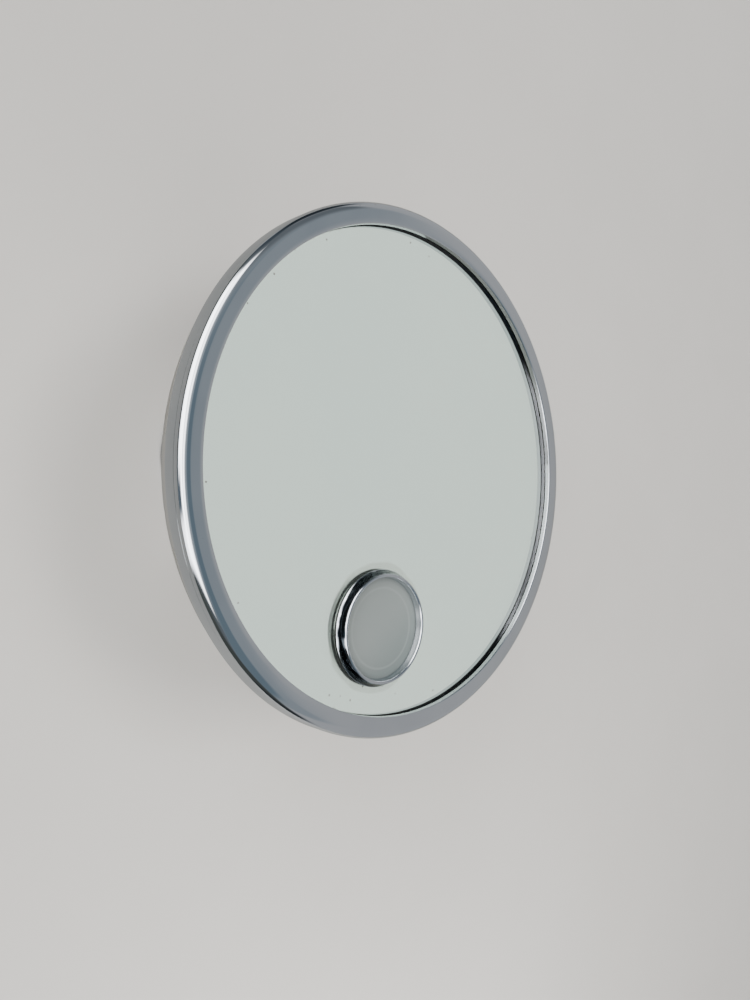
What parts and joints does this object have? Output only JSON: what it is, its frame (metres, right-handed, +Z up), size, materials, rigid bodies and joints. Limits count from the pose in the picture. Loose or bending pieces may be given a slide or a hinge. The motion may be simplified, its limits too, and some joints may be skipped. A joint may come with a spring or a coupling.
{
  "type": "extendable shaving mirror",
  "caption": "Round wall mirror in a chromed bead frame with a frosted lamp window, on folding lazy tongs that draw out from the wall, with swivel and tilt.",
  "frame": {"origin": "centre of the wall plate's back face, on the wall", "axes": "+Y into the wall, the mirror faces -Y, +Z up, +X to the right seen from the room"},
  "size_m": [0.2498, 0.1698, 0.2498],
  "materials": {
    "chrome": "bright chromium plate with fine wiping scratches",
    "nickel": "satin nickel plate",
    "rivet_steel": "plated steel rivets and pins",
    "mirror": "silvered plate glass, slightly green",
    "frosted_glass": "acid-frosted glass",
    "steel": "zinc plated steel",
    "brass": "bare brass",
    "felt": "pressed felt",
    "bakelite": "dark moulded phenolic",
    "porcelain": "glazed white ceramic",
    "reflector": "polished sheet",
    "rubber": "matt black",
    "brown_lead": "insulated wire",
    "blue_lead": "insulated wire"
  },
  "bodies": {
    "wall": {"wall_plate": "steel", "rosette_cover": "chrome", "wall_screw_left": "steel", "wall_screw_right": "steel", "channel_screw_lower": "steel", "channel_screw_upper": "steel", "terminal_block": "porcelain", "wall_grommet": "rubber", "rear_channel": "nickel", "rear_lower_pin": "rivet_steel"},
    "arm_a1": {"link_a1": "nickel", "centre_pin_1": "rivet_steel", "upper_pin_1": "rivet_steel"},
    "arm_b1": {"link_b1": "nickel", "lower_pin_1": "rivet_steel", "rear_slider_pin": "rivet_steel"},
    "arm_a2": {"link_a2": "nickel", "centre_pin_2": "rivet_steel", "upper_pin_2": "rivet_steel"},
    "arm_b2": {"link_b2": "nickel", "lower_pin_2": "rivet_steel"},
    "arm_a3": {"link_a3": "nickel", "centre_pin_3": "rivet_steel", "upper_pin_3": "rivet_steel"},
    "arm_b3": {"link_b3": "nickel", "lower_pin_3": "rivet_steel"},
    "arm_a4": {"link_a4": "nickel", "centre_pin_4": "rivet_steel", "front_slider_pin": "rivet_steel"},
    "arm_b4": {"link_b4": "nickel"},
    "carriage": {"front_channel": "nickel", "front_lower_pin": "rivet_steel"},
    "knuckle": {"swivel_knuckle": "chrome", "swivel_pin": "chrome"},
    "head": {"tilt_clevis": "chrome", "clevis_screw_left": "steel", "clevis_screw_right": "steel", "tilt_pin": "chrome", "tilt_nut": "chrome", "front_ring": "chrome", "mirror_glass": "mirror", "backing_pad": "felt", "back_plate": "steel", "window_bezel": "chrome", "window_lens": "frosted_glass", "lens_retainer": "brass", "bezel_nut": "brass", "rear_shell": "nickel", "lamp_reflector": "reflector", "bulb_glass": "frosted_glass", "bulb_cap": "brass", "lamp_socket": "porcelain", "socket_bracket": "steel", "switch_body": "bakelite", "switch_nut": "nickel", "head_grommet": "rubber", "lead_neutral": "blue_lead", "lead_lamp": "brown_lead", "lead_live": "brown_lead"},
    "lever": {"switch_lever": "chrome"}
  },
  "joints": [
    {"name": "extend", "type": "hinge", "parent": "wall", "child": "arm_a1", "pos_m": [0, -0.02, -0.0597], "axis": [1, 0, 0], "range_deg": [0, 54]},
    {"name": "cross_1", "type": "hinge", "parent": "arm_a1", "child": "arm_b1", "pos_m": [0, -0.026, 0], "axis": [1, 0, 0], "range_deg": [-108, 0]},
    {"name": "stage_2", "type": "hinge", "parent": "arm_a1", "child": "arm_b2", "pos_m": [0, -0.032, 0.0597], "axis": [1, 0, 0], "range_deg": [-108, 0]},
    {"name": "cross_2", "type": "hinge", "parent": "arm_b2", "child": "arm_a2", "pos_m": [0, -0.038, 0], "axis": [1, 0, 0], "range_deg": [0, 108]},
    {"name": "stage_3", "type": "hinge", "parent": "arm_b2", "child": "arm_a3", "pos_m": [0, -0.044, -0.0597], "axis": [1, 0, 0], "range_deg": [0, 108]},
    {"name": "cross_3", "type": "hinge", "parent": "arm_a3", "child": "arm_b3", "pos_m": [0, -0.05, 0], "axis": [1, 0, 0], "range_deg": [-108, 0]},
    {"name": "stage_4", "type": "hinge", "parent": "arm_a3", "child": "arm_b4", "pos_m": [0, -0.056, 0.0597], "axis": [1, 0, 0], "range_deg": [-108, 0]},
    {"name": "cross_4", "type": "hinge", "parent": "arm_b4", "child": "arm_a4", "pos_m": [0, -0.062, 0], "axis": [1, 0, 0], "range_deg": [0, 108]},
    {"name": "carriage_level", "type": "hinge", "parent": "arm_b4", "child": "carriage", "pos_m": [0, -0.068, -0.0597], "axis": [1, 0, 0], "range_deg": [0, 54]},
    {"name": "swivel", "type": "hinge", "parent": "carriage", "child": "knuckle", "pos_m": [0, -0.092, -0.012], "axis": [0, 0, 1], "range_deg": [-40, 40]},
    {"name": "tilt", "type": "hinge", "parent": "knuckle", "child": "head", "pos_m": [0, -0.11, -0.012], "axis": [1, 0, 0], "range_deg": [-22, 22]},
    {"name": "switch", "type": "hinge", "parent": "head", "child": "lever", "pos_m": [0.046, -0.1256, -0.056], "axis": [1, 0, 0], "range_deg": [0, 26]}
  ],
  "couplings": [
    {"joint": "cross_1", "follows": "extend", "ratio": -2},
    {"joint": "stage_2", "follows": "extend", "ratio": -2},
    {"joint": "cross_2", "follows": "extend", "ratio": 2},
    {"joint": "stage_3", "follows": "extend", "ratio": 2},
    {"joint": "cross_3", "follows": "extend", "ratio": -2},
    {"joint": "stage_4", "follows": "extend", "ratio": -2},
    {"joint": "cross_4", "follows": "extend", "ratio": 2},
    {"joint": "carriage_level", "follows": "extend", "ratio": 1}
  ]
}
